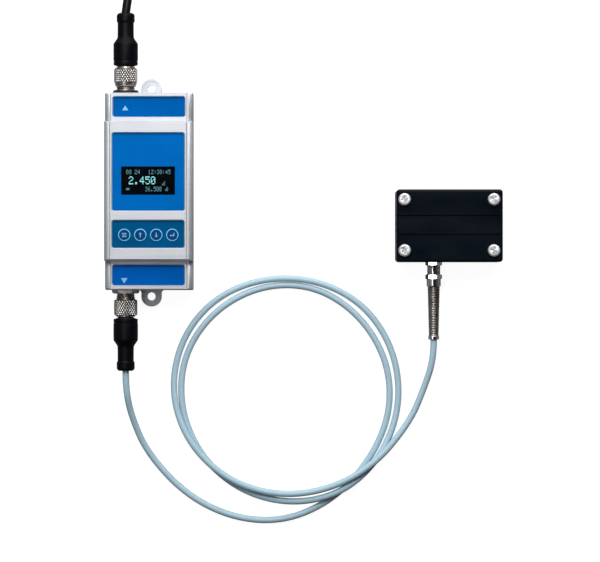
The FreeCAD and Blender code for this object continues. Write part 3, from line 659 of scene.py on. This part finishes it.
def connector(kind, s):
    # socket: hexagon flange, seal and screw thread
    bm = bmesh.new()
    if kind == "power":
        ring_y(bm, rounded([(6.1, 60.0), (7.85, 60.0), (7.85, 61.7), (6.1, 61.7)], [0, .35, .5, 0]),
               CX, CZ, s, 72, 1)
        ring_y(bm, rounded([(4.6, 61.7), (7.3, 61.7), (7.3, 62.2), (4.6, 62.2)], .12),
               CX, CZ, s, 72, 0)
    else:
        hex_ring(bm, CX, CZ, s, 14.5, 60.0, 62.2, 4.6, 0, (False, True), 8)

    def thread(a, y):
        w = tri((y - s * a / (2 * pi)) / 1.0)
        base_r = 5.66 if y < 64.6 else 5.92
        if y < 62.6:
            return 5.15
        k = min(1.0, (y - 62.6) / .3, (71.9 - y) / .6)
        return base_r - .62 * (1 - min(1.0, 1.25 * w)) * max(0.0, k) - (1 - max(0.0, k)) * .6
    ys = [62.2 + i * .125 for i in range(78)]
    field_y(bm, CX, CZ, s, 64, ys, thread, 0, (4.6, 4.6))
    mats = [M["nickel_dull_and_shade"], M["seal_rubber"]]
    finish_mesh(bm, kind + "_socket_threaded", mats, "base", (kind + "_socket",), 30)

    # coupling nut: stepped front, diamond knurl, plain rear collar
    bm = bmesh.new()
    y0, y1 = (67.1, 75.2) if kind == "power" else (66.15, 75.3)
    top, depth = 7.12, 0.50
    k = knurl(26, 2.5, top, depth, y0, y1)
    n = int((y1 - y0) / 0.11)
    segs = 276
    if kind == "power":
        front = [(6.06, 64.7), (6.0, 64.62), (6.12, 64.62), (6.28, 64.8), (6.36, 65.25),
                 (6.36, 65.3), (6.18, 65.42), (6.18, 65.55), (6.60, 65.7), (6.74, 66.15),
                 (6.74, 66.2), (6.50, 66.32), (6.50, 66.5), (6.86, 66.62), (6.90, 67.0)]
    else:
        front = [(6.06, 65.9), (6.5, 65.85), (6.72, 65.9), (6.86, 66.05)]
    back = [(6.62, 75.42), (6.35, 75.6), (5.80, 75.7), (5.70, 75.78), (5.70, 76.28),
            (5.58, 76.4), (5.2, 76.4), (5.2, 75.5), (5.85, 75.5), (5.85, 74.8), (5.2, 74.8),
            (5.2, 73.5), (6.06, 73.5)]
    body = [(None, y0 + (y1 - y0) * i / n) for i in range(n + 1)]
    rows = []
    for r, y in front + body + back:
        row = []
        for j in range(segs):
            a = 2 * pi * j / segs
            rr = k(a, y) if r is None else r
            row.append(bm.verts.new(((CX + rr * math.cos(a)) * MM, s * y * MM,
                                     (CZ + rr * math.sin(a)) * MM)))
        rows.append(row)
    for a, b in zip(rows, rows[1:] + rows[:1]):
        skin(bm, a, b, 0)
    # painted shade: faces deep in the knurl valleys, and the power nut's two front grooves, take the
    # near-black valley metal
    for f in bm.faces:
        c = f.calc_center_median()
        y, r = abs(c.y) / MM, math.hypot(c.x / MM - CX, c.z / MM - CZ)
        if y0 < y < y1 and 6.0 < r < top - depth * 0.50:
            f.material_index = 1
        # painted shade: the rear collar takes the darker dull nickel, which keeps it dark where light
        # falls on it
        elif y > y1 and 5.75 < r < 6.9:
            f.material_index = 2
        elif r > 6.0 and y < y0 and kind == "power" and (65.36 < y < 65.62 or 66.26 < y < 66.56):
            f.material_index = 1
    finish_mesh(bm, kind + "_nut_knurled",
                [M["nickel"], M["knurl_valley_shade"], M["nickel_dull_and_shade"]], kind + "_nut",
                (kind + "_nut",), 50)

    # moulded plug body with its shoulder, tapering tail and end collar
    prof = [(4.95, 77.5), (7.05, 77.5), (7.42, 77.9), (7.42, 79.6), (7.26, 79.75),
            (7.26, 80.35), (7.5, 80.5), (7.5, 90.0), (7.3, 91.0), (5.5, 93.5), (5.05, 94.5),
            (4.96, 96.2), (4.92, 103.3), (5.0, 103.7), (5.5, 104.2), (5.5, 107.9),
            (5.1, 108.8), (4.2, 109.4), (2.6, 109.4), (2.6, 107.0), (0.0, 107.0), (0.0, 80.0),
            (4.95, 80.0)]
    rad = [0, .25, .25, .1, .08, .08, .1, .6, .35, .8, .4, .4, .3, .1, .2, .3, .2, .15, .1, 0,
           0, 0, 0]
    bm = bmesh.new()
    ring_y(bm, rounded(prof, rad, 3), CX, CZ, s, 96, 0)
    return finish_mesh(bm, kind + "_plug_moulded", [M["overmould_black"]], "base",
                       (kind + "_plug",), 40)


power_plug = connector("power", 1)
sensor_plug = connector("sensor", -1)

# ------------------------------------------- cable gland and its bend guard
GX, GZ = 173.9, 8.5
bm = bmesh.new()
hex_ring(bm, GX, GZ, 1, 9.0, -45.0, -42.9, 2.4, 0, (True, False), 8, turn=11)


def gland_thread(a, y):
    w = tri(-y / .75 + a / (2 * pi))
    k = max(0.0, min(1.0, (y + 50.3) / .3, (-45.5 - y) / .3))
    return 4.08 - .34 * (1 - min(1.0, 1.3 * w)) * k - (.25 if y > -45.4 else 0.0)


field_y(bm, GX, GZ, 1, 48, [-50.4 + i * .11 for i in range(50)], gland_thread, 0, (2.4, 2.4))
finish_mesh(bm, "gland_body", [M["gland_nickel"]], "base", ("cable_gland",), 30)

bm = bmesh.new()
hex_ring(bm, GX, GZ, 1, 9.0, -53.4, -50.4, 2.4, 0, (True, True), 8, turn=11)
ring_y(bm, rounded([(2.3, -53.35), (4.3, -53.35), (4.35, -57.3), (3.9, -57.9), (2.3, -57.9)],
                   [0, 0, .25, .25, 0]), GX, GZ, 1, 64, 0)
finish_mesh(bm, "gland_dome_nut", [M["gland_nickel"]], "base", ("gland_nut",), 30)

# the guard: a close-wound tapering spring that ends in a ferrule
bm = bmesh.new()
turns, per, wire_r, sides = 29, 28, .56, 8
y_a, y_b = -57.6, -88.2
rows = []
n = turns * per
for i in range(n + 1):
    t = i / n
    a = 2 * pi * i / per
    y = y_a + (y_b - y_a) * t
    r = (3.85 + (3.10 - 3.85) * t) - wire_r
    c = Vector((GX + r * math.cos(a), y, GZ + r * math.sin(a)))
    out = Vector((math.cos(a), 0, math.sin(a)))
    rows.append([bm.verts.new((c + out * (wire_r * math.cos(2 * pi * k / sides))
                               + Vector((0, 1, 0)) * (wire_r * .98 * math.sin(2 * pi * k / sides))) * MM)
                 for k in range(sides)])
for a, b in zip(rows, rows[1:]):
    skin(bm, a, b, 0)
bm.faces.new(rows[0])
bm.faces.new(list(reversed(rows[-1])))
ring_y(bm, rounded([(2.1, -88.1), (3.2, -88.1), (3.35, -88.4), (3.35, -90.2), (3.1, -90.5),
                    (2.1, -90.5)], [0, .1, .1, .2, .1, 0]), GX, GZ, 1, 56, 1)
finish_mesh(bm, "bend_guard_coil", [M["spring_steel"], M["gland_nickel"]], "base",
            ("bend_guard_spring",), 60)


# ------------------------------------- thin printed marks, rings and digits
def plates(name, loops, z0, z1, mats, body, indices=None):
    """Flat shapes (x, y in mm) given a thickness from z0 to z1."""
    bm = bmesh.new()
    for j, loop in enumerate(loops):
        lo = [bm.verts.new((x * MM, y * MM, z0 * MM)) for x, y in loop]
        hi = [bm.verts.new((x * MM, y * MM, z1 * MM)) for x, y in loop]
        fs = [bm.faces.new(list(reversed(lo))), bm.faces.new(hi)]
        for k in range(len(loop)):
            k2 = (k + 1) % len(loop)
            fs.append(bm.faces.new((lo[k], lo[k2], hi[k2], hi[k])))
        for f in fs:
            f.material_index = indices[j] if indices else 0
    return finish_mesh(bm, name, mats, body, (), 30)


def at(px, py, z):
    """Where a line of sight through a point of the picture's frame meets
    height z (mm): the camera looks straight down."""
    k = (1700.0 - z) / 2750.0
    return (91.67 + (px - 300.0) * k, -54.46 + (281.0 - py) * k)


plates("mark_up", [[at(122.1, 110.3, 29.5), at(128.4, 110.3, 29.5), at(125.25, 105.4, 29.5)]],
       29.49, 29.53, [M["mark_light"]], "base")
plates("mark_down", [[at(120.8, 278.0, 29.5), at(124.2, 283.4, 29.5), at(127.6, 278.0, 29.5)]],
       29.49, 29.53, [M["mark_light"]], "base")

FONT = {"0": "01110 10001 10011 10101 11001 10001 01110",
        "1": "00100 01100 00100 00100 00100 00100 01110",
        "2": "01110 10001 00001 00110 01000 10000 11111",
        "3": "01110 10001 00001 00110 00001 10001 01110",
        "4": "00010 00110 01010 10010 11111 00010 00010",
        "5": "11111 10000 11110 00001 00001 10001 01110",
        "6": "00110 01000 10000 11110 10001 10001 01110",
        "7": "11111 00001 00010 00100 01000 01000 01000",
        "8": "01110 10001 10001 01110 10001 10001 01110",
        "9": "01110 10001 10001 01111 00001 00010 01100",
        ":": "00000 00100 00100 00000 00100 00100 00000",
        ".": "00000 00000 00000 00000 00000 01100 01100",
        " ": "00000 00000 00000 00000 00000 00000 00000",
        "=": "00000 00000 11111 00000 11111 00000 00000",
        "|": "00001 00001 00101 00101 10101 10101 10101"}


def text(rows, px, py, adv, high, z):
    """Dot-matrix characters: top left at (px, py), one advance per character."""
    x0, y0 = at(px, py, z)
    k = (1700.0 - z) / 2750.0
    w, h = adv * k / 6.0, high * k / 7.0
    out = []
    for i, ch in enumerate(rows):
        for r, line in enumerate(FONT[ch].split()):
            c = 0
            while c < 5:
                if line[c] == "1":
                    e = c
                    while e < 5 and line[e] == "1":
                        e += 1
                    xa = x0 + (i * 6 + c) * w
                    xb = x0 + (i * 6 + e) * w - .09
                    ya = y0 - r * h
                    yb = ya - h + .10
                    out.append([(xa, yb), (xb, yb), (xb, ya), (xa, ya)])
                    c = e
                else:
                    c += 1
    return out


small = (text("08", 126.2, 169.8, 2.9, 4.4, 35.5) + text("24", 134.7, 169.8, 2.9, 4.4, 35.5)
         + text("12:30:45", 148.3, 169.8, 2.86, 4.4, 35.5)
         + text("|", 162.0, 181.3, 3.6, 4.2, 35.5)
         + text("=", 126.0, 186.8, 4.4, 4.6, 35.5)
         + text("36.500", 145.3, 186.8, 2.8, 4.6, 35.5)
         + text("|", 165.2, 186.9, 3.4, 4.3, 35.5))
big = text("2.450", 128.8, 176.5, 5.5, 7.9, 35.5)
plates("display_digits", small + big, 35.50, 35.53, [M["digits_small"], M["digits"]], "base",
       [0] * len(small) + [1] * len(big))

KEY_X, KEY_Y, KEY_TOP = (-14.7, -5.0, 4.7, 14.4), -26.6, 35.95
KEYS = ("key_menu", "key_up", "key_down", "key_enter")
LEGEND = {
    "key_menu": [[(-1.35, y), (1.35, y), (1.35, y + .42), (-1.35, y + .42)]
                 for y in (-1.16, -.21, .74)],
    "key_up": [[(-.26, -1.35), (.26, -1.35), (.26, .55), (-.26, .55)],
               [(-.95, .45), (.95, .45), (0, 1.5)]],
    "key_down": [[(-.26, -.55), (.26, -.55), (.26, 1.35), (-.26, 1.35)],
                 [(0, -1.5), (.95, -.45), (-.95, -.45)]],
    "key_enter": [[(.72, -.62), (1.22, -.62), (1.22, 1.25), (.72, 1.25)],
                  [(-.7, -.62), (.72, -.62), (.72, -.14), (-.7, -.14)],
                  [(-1.5, -.38), (-.7, -1.1), (-.7, .34)]]}
for name, x in zip(KEYS, KEY_X):
    bm = bmesh.new()
    prof = rounded([(3.20, KEY_TOP - .02), (3.22, KEY_TOP + .10), (3.50, KEY_TOP + .12),
                    (3.765, KEY_TOP - .16), (3.765, KEY_TOP - .34), (3.62, KEY_TOP - .34)],
                   [0, .04, .10, .06, 0, 0], 3)
    rows = []
    for r, z in prof:
        rows.append([bm.verts.new(((x + r * math.cos(2 * pi * k / 72)) * MM,
                                   (KEY_Y + r * math.sin(2 * pi * k / 72)) * MM, z * MM))
                     for k in range(72)])
    for a, b in zip(rows, rows[1:] + rows[:1]):
        skin(bm, a, b, 0)
    finish_mesh(bm, name + "_ring", [M["key_line"]], name, (), 60)
    plates(name + "_legend", [[(x + u, KEY_Y + v) for u, v in loop] for loop in LEGEND[name]],
           KEY_TOP - .005, KEY_TOP + .03, [M["key_line"]], name)

# ------------------------------------------------- finishes on the CAD nodes
FINISH = {
    "case_silver": "rear_cover main_housing top_end_cover bottom_end_cover",
    "steel_zinc": "rear_cover_screws board_spacers board_screws base_plate_screws socket_nuts",
    "label_blue": "main_label", "label_top_blue": "top_label",
    "label_low_blue": "bottom_label", "label_dark_blue": "key_label",
    "window": "display_window", "key_blue": "key_menu key_up key_down key_enter",
    "board_green": "display_board main_board",
    "display_black": "display_module",
    "chip_black": "processor_chips power_converter key_switches board_link board_connectors",
    "can_grey": "capacitors", "wire": "connector_leads crystal_wires",
    "connector_black": "socket_inserts power_plug_insert sensor_plug_insert",
    "gold": "socket_pins", "nickel": "power_nut_ring sensor_nut_ring",
    "head_black": "clamp_base clamp_cover base_plate",
    "chrome": "clamp_screw_1 clamp_screw_2 clamp_screw_3 clamp_screw_4",
    "wedge_amber": "transducer_wedges", "ceramic": "transducer_crystals",
    "seal_rubber": "gland_seal", "cable_grey_blue": "sensor_cable_end"}
for key, names in FINISH.items():
    for name in names.split():
        for sl in NODES[name].material_slots:
            sl.material = M[key]

EDGES = {0.25: "main_housing top_end_cover bottom_end_cover", 0.45: "rear_cover",
         0.30: "clamp_base", 0.60: "clamp_cover",
         0.14: "clamp_screw_1 clamp_screw_2 clamp_screw_3 clamp_screw_4 base_plate",
         0.10: "key_menu key_up key_down key_enter rear_cover_screws base_plate_screws",
         0.08: "top_label main_label bottom_label key_label"}
for width, names in EDGES.items():
    for name in names.split():
        o = NODES[name]
        w = o.modifiers.new("join", "WELD")
        w.merge_threshold = 2e-6
        v = o.modifiers.new("edges", "BEVEL")
        v.width, v.segments = width * MM, 4 if width > .5 else 2
        v.limit_method, v.angle_limit = "ANGLE", math.radians(40)
        v.use_clamp_overlap = True
        v.harden_normals = True


# ------------------------------------------------------- floor, light, world
me = bpy.data.meshes.new("floor")
me.from_pydata([(-3, -3, -.0002), (3, -3, -.0002), (3, 3, -.0002), (-3, 3, -.0002)], [],
               [(0, 1, 2, 3)])
floor = link(bpy.data.objects.new("floor", me))
fm = Nodes("floor")
fn = fm.noise((4, 4, 4), 2.0)
fm.set(base=fm.ramp(fn, [(0.3, (0.21, 0.21, 0.215)), (0.7, (0.23, 0.23, 0.235))]), rough=0.9,
       spec=0.0)
f_path = fm.add("ShaderNodeLightPath")
f_glow = fm.add("ShaderNodeEmission")
f_glow.inputs["Color"].default_value = (1, 1, 1, 1)
fm.link(fm.math("MULTIPLY", f_path.outputs["Is Camera Ray"], 0.94), f_glow.inputs["Strength"])
f_sum = fm.add("ShaderNodeAddShader")
fm.link(fm.p.outputs["BSDF"], f_sum.inputs[0])
fm.link(f_glow.outputs["Emission"], f_sum.inputs[1])
fm.link(f_sum.outputs["Shader"], fm.out.inputs["Surface"])
me.materials.append(fm.m)


def area(name, loc, target, size, size_y, power, colour=(1, 1, 1)):
    li = bpy.data.lights.new(name, "AREA")
    li.shape = "RECTANGLE"
    li.size, li.size_y = size, size_y
    li.energy = power
    li.color = colour
    o = link(bpy.data.objects.new(name, li))
    o.location = loc
    back = (Vector(loc) - Vector(target)).normalized()
    along = (Vector((0, 1, 0)) - back * back.y).normalized()
    o.rotation_euler = Matrix((along.cross(back), along, back)).transposed().to_euler()
    o.visible_camera = False
    return o


area("key", (0.035, 0.385, 0.86), (0.06, -0.03, 0.0), 0.46, 0.26, 4.5)
area("strip", (-0.29, -0.02, 1.15), (0.08, -0.05, 0.0), 0.20, 0.80, 1.9)
area("panel", (0.24, 0.72, 0.46), (0.09, -0.05, 0.10), 1.30, 0.95, 7.0)

world = bpy.data.worlds.new("studio")
scene.world = world
world.use_nodes = True
wt = world.node_tree
wt.nodes.clear()


def wn(kind, **props):
    n = wt.nodes.new(kind)
    for k, v in props.items():
        setattr(n, k, v)
    return n


def wramp(fac, stops):
    n = wn("ShaderNodeValToRGB")
    e = n.color_ramp.elements
    while len(e) < len(stops):
        e.new(0.5)
    for i, (at_, c) in enumerate(stops):
        e[i].position = at_
        e[i].color = (c, c, c, 1)
    wt.links.new(fac, n.inputs["Fac"])
    return n.outputs["Color"]


w_out = wn("ShaderNodeOutputWorld")
w_mix = wn("ShaderNodeMixShader")
w_path = wn("ShaderNodeLightPath")
w_cam, w_env = wn("ShaderNodeBackground"), wn("ShaderNodeBackground")
w_cam.inputs["Color"].default_value = (1, 1, 1, 1)
w_tc = wn("ShaderNodeTexCoord")
w_sep = wn("ShaderNodeSeparateXYZ")
wt.links.new(w_tc.outputs["Generated"], w_sep.inputs[0])
ring = wramp(w_sep.outputs["Z"], [(0.0, 0.10), (0.25, 0.11), (0.50, 0.24), (0.80, 0.28),
                                  (0.93, 0.06), (0.985, 0.01)])
w_dot = wn("ShaderNodeVectorMath", operation="DOT_PRODUCT")
w_dot.inputs[1].default_value = Vector((.15, .97, 0))
wt.links.new(w_tc.outputs["Generated"], w_dot.inputs[0])
w_map = wn("ShaderNodeMapRange")
for k_, v_ in zip(("From Min", "From Max", "To Min", "To Max"), (-0.75, 0.75, 0.15, 1.9)):
    w_map.inputs[k_].default_value = v_
wt.links.new(w_dot.outputs["Value"], w_map.inputs["Value"])
w_side = wn("ShaderNodeMapRange")
for k_, v_ in zip(("From Min", "From Max", "To Min", "To Max"), (-0.05, 0.20, 1.25, 0.22)):
    w_side.inputs[k_].default_value = v_
wt.links.new(w_sep.outputs["X"], w_side.inputs["Value"])
w_far = wn("ShaderNodeMapRange")
for k_, v_ in zip(("From Min", "From Max", "To Min", "To Max"), (0.93, 0.99, 0.0, 1.4)):
    w_far.inputs[k_].default_value = v_
wt.links.new(w_sep.outputs["X"], w_far.inputs["Value"])
w_both = wn("ShaderNodeMath", operation="ADD")
wt.links.new(w_side.outputs["Result"], w_both.inputs[0])
wt.links.new(w_far.outputs["Result"], w_both.inputs[1])
w_amt = wn("ShaderNodeMath", operation="MULTIPLY")
wt.links.new(w_both.outputs[0], w_amt.inputs[0])
wt.links.new(w_map.outputs["Result"], w_amt.inputs[1])
w_mul = wn("ShaderNodeVectorMath", operation="SCALE")
wt.links.new(ring, w_mul.inputs[0])
wt.links.new(w_amt.outputs[0], w_mul.inputs["Scale"])
wall = wramp(w_sep.outputs["Y"], [(0.0, 0.0), (0.66, 0.0), (0.80, 0.6), (0.93, 1.9),
                                   (1.0, 2.3)])
w_add = wn("ShaderNodeVectorMath", operation="ADD")
wt.links.new(w_mul.outputs["Vector"], w_add.inputs[0])
w_wall = wn("ShaderNodeVectorMath", operation="SCALE")
wt.links.new(wall, w_wall.inputs[0])
w_wall.inputs["Scale"].default_value = 0.8
wt.links.new(w_wall.outputs["Vector"], w_add.inputs[1])
wt.links.new(w_add.outputs["Vector"], w_env.inputs["Color"])
w_env.inputs["Strength"].default_value = 1.0
wt.links.new(w_path.outputs["Is Camera Ray"], w_mix.inputs["Fac"])
wt.links.new(w_env.outputs["Background"], w_mix.inputs[1])
wt.links.new(w_cam.outputs["Background"], w_mix.inputs[2])
wt.links.new(w_mix.outputs["Shader"], w_out.inputs["Surface"])
